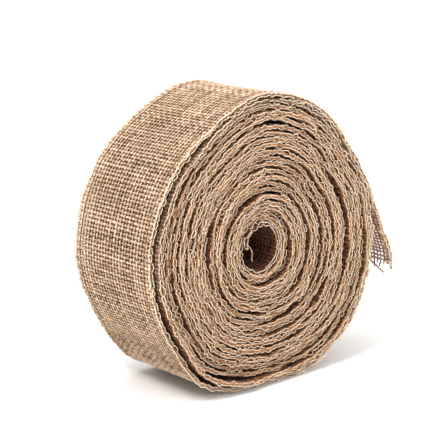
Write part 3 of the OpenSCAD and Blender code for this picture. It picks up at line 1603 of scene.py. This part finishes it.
# A darker copy of the jute: painted shade of the crevice under the peeling stretches.
SHADED_COVERED_STOPS = (
    (0.10, (0.08, 0.032, 0.013)),
    (0.36, (0.28, 0.162, 0.086)),
    (0.58, (0.45, 0.300, 0.185)),
    (0.84, (0.62, 0.470, 0.330)),
)
# A much darker copy of the jute: painted shade inside the hole.
SHADED_LINING_STOPS = (
    (0.12, (0.016, 0.004, 0.001)),
    (0.40, (0.095, 0.028, 0.008)),
    (0.62, (0.210, 0.075, 0.024)),
    (0.88, (0.35, 0.155, 0.062)),
)
# A darker copy of the jute: painted shade of the gaps between the hidden turns.
SHADED_EDGE_STOPS = (
    (0.12, (0.13, 0.042, 0.013)),
    (0.38, (0.28, 0.116, 0.042)),
    (0.60, (0.42, 0.213, 0.093)),
    (0.86, (0.58, 0.360, 0.195)),
)
SEAM_STOPS = (
    (0.10, (0.25, 0.120, 0.050)),
    (0.34, (0.52, 0.330, 0.190)),
    (0.58, (0.80, 0.605, 0.420)),
    (0.88, (0.96, 0.815, 0.640)),
)
# A darker copy of the seam thread: painted shade of the gaps between the hidden turns.
SHADED_SEAM_STOPS = (
    (0.10, (0.15, 0.062, 0.024)),
    (0.42, (0.36, 0.185, 0.088)),
    (0.76, (0.79, 0.585, 0.400)),
    (0.98, (0.93, 0.760, 0.580)),
)
# A much darker copy of the jute: painted shade inside the roll, seen through the outer cloth's holes.
SHADED_CLOTH_STOPS = (
    (0.15, (0.030, 0.012, 0.005)),
    (0.45, (0.100, 0.043, 0.018)),
    (0.70, (0.21, 0.105, 0.050)),
    (0.95, (0.34, 0.200, 0.110)),
)


@dataclass(frozen=True)
class Stretch:
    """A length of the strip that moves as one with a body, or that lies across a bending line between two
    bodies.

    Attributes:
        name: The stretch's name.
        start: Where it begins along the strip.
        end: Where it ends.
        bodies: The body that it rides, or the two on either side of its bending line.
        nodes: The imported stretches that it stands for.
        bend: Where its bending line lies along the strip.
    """

    name: str
    start: float
    end: float
    bodies: tuple[str, ...] = ("roll",)
    nodes: tuple[str, ...] = ("wound",)
    bend: float = 0.0


@dataclass
class Roll:
    """What every part of the ribbon shares: its path, its make and its stretches.

    Attributes:
        strip: The ribbon's make.
        spiral: The ribbon's path.
        show_before: Length ahead of the lowest half-turn over which the outer face shows.
        cover_before: Length that is woven ahead of the turn that the peeling stretches cover.
        inner_end: Length of the strip that hangs into the hole before its first turn.
        lining: Length of the first turn, whose inner face shows in the hole.
        bend_before: Length that is laid with the first bend, ahead of its bending line.
        bend_reach: Distance on each side of a bending line at which the path's places are found; nothing
            uses them.
    """

    strip: Strip = field(default_factory=Strip)
    spiral: Spiral = field(default_factory=Spiral)
    show_before: float = 22 * MM
    cover_before: float = 14 * MM
    inner_end: float = 1.0 * MM
    lining: float = 70 * MM
    bend_before: float = 20 * MM
    bend_reach: float = 9 * MM

    @cached_property
    def inner(self) -> Stretch:
        """The turns that show only their edges."""
        end = self.spiral.half_start(self.spiral.halves - 1) - self.show_before
        return Stretch("inner_turns", -self.inner_end, end)

    @cached_property
    def first(self) -> Stretch:
        """The turn round the hole, whose inner face shows."""
        return Stretch("first_turn", self.inner.start, self.lining)

    @cached_property
    def covered(self) -> Stretch:
        """The half-turn that the last one covers, which shows where the ribbon is peeled off."""
        start = self.spiral.half_start(self.spiral.halves - 2) - self.cover_before
        return Stretch("covered_turn", start, self.inner.end)

    @cached_property
    def hidden(self) -> Stretch:
        """The turns between the first and the one that the last covers."""
        return Stretch("inner_turns", self.first.end, self.covered.start)

    @cached_property
    def outer(self) -> list[Stretch]:
        """The stretches whose outer face shows.

        Returns:
            The stretches in order, from the right round underneath to the free end.
        """
        spiral = self.spiral
        middles = [(spiral.hinge(k) + spiral.hinge(k + 1)) / 2 for k in range(spiral.wraps)]
        first = spiral.hinge(0) - self.bend_before
        found = [Stretch("last_turn", self.inner.end, first)]
        starts, ends = [first, *middles], [*middles, spiral.length]
        bodies = ["roll", *(f"wrap_{k + 1}" for k in range(spiral.wraps)), "tail"]
        nodes = ["wound", *bodies[1:]]
        for k, (start, end) in enumerate(zip(starts, ends)):
            name = "free_end" if k == spiral.wraps else f"bend_{k + 1}"
            pair = (bodies[k], bodies[k + 1])
            found.append(Stretch(name, start, end, pair, (nodes[k], nodes[k + 1]), spiral.hinge(k)))
        return found

    def fit(self, piece: bpy.types.Object, stretch: Stretch, slot: str, stands_for: str) -> None:
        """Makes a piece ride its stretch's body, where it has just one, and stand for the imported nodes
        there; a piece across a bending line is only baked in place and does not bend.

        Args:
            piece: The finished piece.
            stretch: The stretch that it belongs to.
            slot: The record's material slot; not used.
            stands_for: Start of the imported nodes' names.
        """
        if len(stretch.bodies) == 1:
            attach(piece, stretch.bodies[0])
        else:
            before = self.spiral.place(stretch.bend - self.bend_reach)
            after = self.spiral.place(stretch.bend + self.bend_reach)
            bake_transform(piece)
        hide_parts(*(f"{stands_for}_{node}" for node in stretch.nodes))


@dataclass
class Cloth:
    """The woven strip itself.

    Attributes:
        roll: What the ribbon's parts share.
        thickness: Thickness of the hidden turns' sheet.
        inset: Distance from the edge at which that sheet stops.
        sheet_step: Length of that sheet's faces.
        edge_depth: How far in from the edge the hidden turns have real yarns.
        edge_fuzz: Loose fibres for each crosswise yarn on the hidden turns' edges.
        fine: Places laid per crossing of two yarns, where the outer face shows.
        fuzz: Loose fibres for each crosswise yarn there.
        shaded_fine: Places laid per crossing, on the first turn and the covered one.
        shaded_fuzz: Loose fibres for each crosswise yarn there.
        yarn: The finish of the yarns whose outer face shows.
        edge_yarn: The finish of the hidden turns' yarns, a darker copy of the jute as painted shade of the
            gaps between turns.
        covered_yarn: The finish of the turn that the last one covers, a darker copy of the jute as painted
            shade of its crevice.
        lining_yarn: The finish of the turn round the hole, a much darker copy of the jute as painted shade
            inside the hole.
    """

    roll: Roll
    thickness: float = 0.3 * MM
    inset: float = 1.0 * MM
    sheet_step: float = 1.5 * MM
    edge_depth: float = 3.4 * MM
    edge_fuzz: float = 1.7
    fine: int = 3
    fuzz: float = 3.0
    shaded_fine: int = 2
    shaded_fuzz: float = 1.0
    yarn: FibreFinish = FibreFinish("jute_yarn", "jute_cloth", JUTE_STOPS)
    # painted shade: the hidden turns' edges are painted darker than the lit jute
    edge_yarn: FibreFinish = FibreFinish(
        "wound_edge_yarn", "jute_cloth", SHADED_EDGE_STOPS, tone_share=0.85, streak_share=0.95, crown_share=0.14
    )
    # painted shade: the covered turn lies in a crevice, so its jute is painted darker
    covered_yarn: FibreFinish = FibreFinish("covered_yarn", "jute_cloth", SHADED_COVERED_STOPS)
    # painted shade: the turn round the hole is painted much darker than the lit jute
    lining_yarn: FibreFinish = FibreFinish("lining_yarn", "jute_cloth", SHADED_LINING_STOPS, crown_share=0.3)

    @property
    def width(self) -> float:
        """Width of the hidden turns' sheet."""
        return self.roll.strip.width - 2 * self.inset

    def build(self) -> None:
        """Builds every stretch of the cloth."""
        weave, bright = Weave(self.roll.strip), self.yarn.make()
        self._inner(weave, self.edge_yarn.make())
        # the first turn and the covered one get darker copies of the jute: painted shade
        lining, covered = self.lining_yarn.make(), self.covered_yarn.make()
        self._woven(weave, self.roll.first, lining, self.shaded_fine, self.shaded_fuzz)
        self._woven(weave, self.roll.covered, covered, self.shaded_fine, self.shaded_fuzz)
        for stretch in self.roll.outer:
            self._woven(weave, stretch, bright, self.fine, self.fuzz)

    def _woven(
        self, weave: Weave, stretch: Stretch, finish: bpy.types.Material, fine: int, fuzz: float
    ) -> None:
        """Builds one stretch as real yarns.

        Args:
            weave: The cloth's weave.
            stretch: The stretch.
            finish: Its material.
            fine: Places laid per crossing.
            fuzz: Loose fibres for each crosswise yarn.
        """
        cut = stretch.name == "free_end"
        wefts = weave.wefts(stretch.start, stretch.end, fine, fuzz)
        across = wefts.make(f"wefts_{stretch.name}", self.roll.spiral, finish)
        warps = weave.warps(stretch.start, stretch.end, fine, cut)
        along = warps.make(f"warps_{stretch.name}", self.roll.spiral, finish)
        for piece in (across, along):
            self.roll.fit(piece, stretch, self.yarn.slot, "ribbon")
        size = (self.roll.strip.width, stretch.end - stretch.start)

    def _inner(self, weave: Weave, finish: bpy.types.Material) -> None:
        """Builds the hidden turns: a sheet, which goes on under the covered turn, and real edges.

        Args:
            weave: The cloth's weave.
            finish: The edges' material.
        """
        stretch = self.roll.hidden
        sheet = self._sheet(stretch.name, stretch.start, self.roll.inner.end)
        self.roll.fit(sheet, stretch, self.yarn.slot, "ribbon")
        for edge in Edge:
            yarns = weave.edge(edge, stretch.start, stretch.end, self.edge_depth)
            fibres = weave.fuzz(edge, stretch.start, stretch.end, self.edge_fuzz)
            for kind, laid in (("yarns", yarns), ("fibres", fibres)):
                piece = laid.make(f"{edge.label}_edge_{kind}_{stretch.name}", self.roll.spiral, finish)
                self.roll.fit(piece, stretch, self.yarn.slot, "ribbon")
        size = (self.width, self.roll.inner.end - stretch.start)

    def _sheet(self, name: str, start: float, end: float) -> bpy.types.Object:
        """Makes the hidden turns' sheet.

        Args:
            name: The name of its stretch.
            start: Where it begins along the strip.
            end: Where it ends.

        Returns:
            The sheet.
        """
        length, work = end - start, bmesh.new()
        cells = int(length / self.sheet_step)
        bmesh.ops.create_grid(work, x_segments=cells, y_segments=4, size=1.0, calc_uvs=True)
        bmesh.ops.scale(work, vec=(length / 2, self.width / 2, 1.0), verts=work.verts)
        bmesh.ops.translate(work, vec=(start + length / 2, 0.0, -self.thickness / 2), verts=work.verts)
        bmesh.ops.recalc_face_normals(work, faces=work.faces)
        bmesh.ops.solidify(work, geom=[*work.verts, *work.edges, *work.faces], thickness=self.thickness)
        bmesh.ops.recalc_face_normals(work, faces=work.faces)
        mesh = as_mesh(f"cloth_{name}", work)
        places = places_of(mesh)
        places[:, 2] -= (places[:, 2].max() + places[:, 2].min()) / 2
        mesh.vertices.foreach_set("co", self.roll.spiral.wind(places).ravel())
        mesh.shade_smooth()
        mesh.update()
        # the hidden turns' sheet gets a darkened weave: painted shade of the roll's inside
        mesh.materials.append(WovenFinish("wound_cloth", SHADED_CLOTH_STOPS, self.roll.strip, length).make())
        LOG.info("%s: %d triangles", mesh.name, 2 * len(mesh.polygons))
        return linked(mesh.name, mesh)


@dataclass
class Seams:
    """The overlocked edges: a needle thread and two loopers along each.

    Attributes:
        roll: What the ribbon's parts share.
        thread: The finish of the threads that show on the outer face, paler at the edge and darker away
            from it as painted shade.
        wound_thread: The finish of the hidden turns' threads, a darker copy whose painted shade deepens
            away from the edge, into the gaps between turns.
        loose: Places of the loose end that curls in the hole, in millimetres.
        loose_r: Radius of that loose end.
        loose_tone: Its tone.
    """

    roll: Roll
    # painted shade: these threads darken away from the edge through the crown
    thread: FibreFinish = FibreFinish(
        "overlock_thread",
        "overlock_thread",
        SEAM_STOPS,
        tone_share=0.35,
        streak_share=0.6,
        crown_share=0.5,
        depth=0.1 * MM,
    )
    # painted shade: the hidden turns' threads are painted darker, the more so away from the edge
    wound_thread: FibreFinish = FibreFinish(
        "wound_thread",
        "overlock_thread",
        SHADED_SEAM_STOPS,
        tone_share=0.35,
        streak_share=0.6,
        crown_share=1.1,
        depth=0.1 * MM,
    )
    loose: tuple[Place, ...] = (
        (-7.7, -22.6, 2.4),
        (-6.6, -24.0, 1.4),
        (-5.3, -24.5, -0.6),
        (-4.9, -24.4, -2.6),
        (-5.3, -24.3, -4.2),
        (-4.7, -24.2, -5.4),
    )
    loose_r: float = 0.17 * MM
    loose_tone: float = 0.1

    def build(self) -> None:
        """Builds every thread of both edges, stretch by stretch."""
        # dark is the painted-shade copy of the thread for the hidden turns
        bright, dark = self.thread.make(), self.wound_thread.make()
        overlock = Overlock(self.roll.strip)
        for stretch in [self.roll.inner, *self.roll.outer]:
            sides, finish = (4, dark) if stretch is self.roll.inner else (6, bright)
            for edge in Edge:
                for kind in Thread:
                    yarns = overlock.thread(kind, edge, stretch.start, stretch.end, sides)
                    name = f"{edge.label}_{kind.value}"
                    piece = yarns.make(f"{name}_{stretch.name}", self.roll.spiral, finish)
                    self.roll.fit(piece, stretch, self.thread.slot, name)
        yarns = Yarns(sides=8)
        yarns.lay(rounded(np.array(self.loose) * MM, 2), self.loose_r, self.loose_tone)
        end = yarns.make("loose_thread_in_hole", None, bright)
        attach(end, "roll")
        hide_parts("loose_thread_core")


@dataclass
class CutEnd:
    """The loose yarn at the ribbon's cut end.

    Attributes:
        roll: What the ribbon's parts share.
        finish: The yarn's finish.
        root: Distance of its root from the front edge.
        reach: Distance that it runs forwards.
        drop: Distance that it hangs below its root.
        droop: The part of that drop that it takes at once.
        held: Length of the strip that holds its root.
        wave: How far it waves out of the cloth.
        curl: How far its tip curls back.
        radius: Its radius.
        tone: Its tone.
        places: Number of its places.
    """

    roll: Roll
    finish: FibreFinish = FibreFinish(
        "loose_jute_yarn", "jute_yarn", JUTE_STOPS, tone_share=0.2, crown_share=0.0
    )
    root: float = 14 * MM
    reach: float = 10.8 * MM
    drop: float = 5.6 * MM
    droop: float = 2.6 * MM
    held: float = 1.2 * MM
    wave: float = 0.5 * MM
    curl: float = 0.9 * MM
    radius: float = 0.38 * MM
    tone: float = 0.12
    places: int = 22

    def build(self) -> None:
        """Builds the loose yarn."""
        share = np.linspace(0.0, 1.0, self.places)
        fall = self.droop * eased(share / 0.25)
        fall = fall + (self.drop - self.droop) * np.clip(share - 0.2, 0.0, 1.0) / 0.8
        forwards = self.reach * np.clip(share - 0.08, 0.0, 1.0) / 0.92
        along = self.roll.spiral.length - self.held + fall
        across = self.root - self.roll.strip.half - forwards
        out = self.wave * np.sin(share * 5.0) - self.curl * share**2
        yarns = Yarns(sides=8)
        yarns.lay(np.stack([along, across, out], axis=1), self.radius, self.tone)
        piece = yarns.make("loose_weft_yarn", self.roll.spiral, self.finish.make())
        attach(piece, "tail")
        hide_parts("loose_yarn_tail")


@dataclass(frozen=True)
class Lamp:
    """A soft square light, turned towards the roll's middle.

    Attributes:
        name: Its name.
        place: Where it stands.
        size: Its width.
        power: Its power in watts.
    """

    name: str
    place: Place
    size: float
    power: float

    def build(self) -> None:
        """Hangs the light."""
        data = bpy.data.lights.new(self.name, "AREA")
        data.shape, data.size, data.energy = "SQUARE", self.size, self.power
        place = Vector(self.place)
        linked(self.name, data).matrix_world = facing(place, -place, "-Z")


@dataclass
class Studio:
    """Camera, floor, backdrop and lights.

    Attributes:
        azimuth: The camera's angle to the left of the front, in degrees.
        elevation: Its angle above the floor, in degrees.
        distance: Its distance from the aim.
        aim: What it looks at.
        lens: Its focal length in millimetres.
        sensor: Its sensor's width in millimetres.
        near: The nearest that it sees.
        shift: Its framing shift, as shares of the frame.
        floor: Width of the floor, and of the backdrop.
        floor_greys: The floor's darkest and palest grey.
        backdrop: Distance of the backdrop from the roll.
        sky: Strength of the light from all round.
        lamps: The lights.
    """

    azimuth: float = 40.34
    elevation: float = 13.45
    distance: float = 0.6
    aim: Place = (0.0039, 0.0, -0.00115)
    lens: float = 114.1
    sensor: float = 36.0
    near: float = 0.01
    shift: Pair = (-0.01333, 0.03027)
    floor: float = 12.0
    floor_greys: Pair = (0.96, 0.98)
    backdrop: float = 3.2
    sky: float = 0.62
    lamps: tuple[Lamp, ...] = (
        Lamp("key_light", (-0.6, -0.2, 0.8), 0.3, 6.0),
        Lamp("front_light", (0.25, -0.95, 0.45), 0.5, 3.2),
        Lamp("overhead_light", (0.0, 0.0, 3.0), 5.0, 64.0),
    )

    def build(self) -> None:
        """Sets up the studio."""
        self._camera()
        self._floor()
        self._backdrop()
        for lamp in self.lamps:
            lamp.build()
        world = bpy.data.worlds.new("studio_air")
        world.use_nodes = True
        air = world.node_tree.nodes["Background"]
        air.inputs["Color"].default_value = (1.0, 1.0, 1.0, 1.0)
        air.inputs["Strength"].default_value = self.sky
        bpy.context.scene.world = world
        bpy.context.scene.view_settings.view_transform = "Standard"

    def _camera(self) -> None:
        """Places the camera."""
        turn, rise = math.radians(self.azimuth), math.radians(self.elevation)
        back = Vector((-math.sin(turn) * math.cos(rise), -math.cos(turn) * math.cos(rise), math.sin(rise)))
        data = bpy.data.cameras.new("camera")
        data.lens, data.sensor_width, data.clip_start = self.lens, self.sensor, self.near
        data.shift_x, data.shift_y = self.shift
        camera = linked("camera", data)
        camera.matrix_world = facing(Vector(self.aim) + back * self.distance, back, "Z")
        bpy.context.scene.camera = camera

    def _panel(self, name: str, cells: int, placing: Matrix, finish: bpy.types.Material) -> None:
        """Makes a flat square of the stage.

        Args:
            name: Its name.
            cells: Its faces along each side.
            placing: Where it lies or stands.
            finish: Its material.
        """
        work = bmesh.new()
        bmesh.ops.create_grid(work, x_segments=cells, y_segments=cells, size=self.floor / 2)
        bmesh.ops.transform(work, matrix=placing, verts=work.verts)
        mesh = as_mesh(name, work)
        mesh.materials.append(finish)
        linked(name, mesh)

    def _floor(self) -> None:
        """Lays the floor."""
        shade = Shade("pale_floor")
        place = shade.add("ShaderNodeTexCoord").outputs["Object"]
        mottle = shade.noise(place, 3.0)
        dark, pale = ((grey, grey, grey, 1.0) for grey in self.floor_greys)
        colour = shade.add("ShaderNodeMix", {"data_type": "RGBA"}, {0: mottle, 6: dark, 7: pale})
        finish = shade.finish(colour.outputs[2], mottle, 0.01 * MM, 0.9, 0.0)
        self._panel("floor", 8, Matrix.Translation((0.0, 0.0, CAD_BOX[0][2])), finish)

    def _backdrop(self) -> None:
        """Stands a lit white backdrop far behind the roll."""
        turn = math.radians(self.azimuth)
        stand = Matrix.Rotation(turn, 4, "Z").inverted() @ Matrix.Rotation(math.pi / 2, 4, "X")
        behind = Vector((math.sin(turn), math.cos(turn), 0.0)) * self.backdrop
        shade = Shade("lit_paper")
        glow = shade.add("ShaderNodeEmission", {}, {"Color": (1.0, 1.0, 1.0, 1.0), "Strength": 1.0})
        shade.add("ShaderNodeOutputMaterial", {}, {0: glow.outputs[0]})
        self._panel("backdrop", 4, Matrix.Translation(behind) @ stand, shade.material)


def main() -> None:
    """Builds the studio and the roll of ribbon."""
    Studio().build()
    roll = Roll()
    LOG.info("the strip is %.1f mm long", roll.spiral.length / MM)
    Cloth(roll).build()
    Seams(roll).build()
    CutEnd(roll).build()


if __name__ == "__main__":
    main()
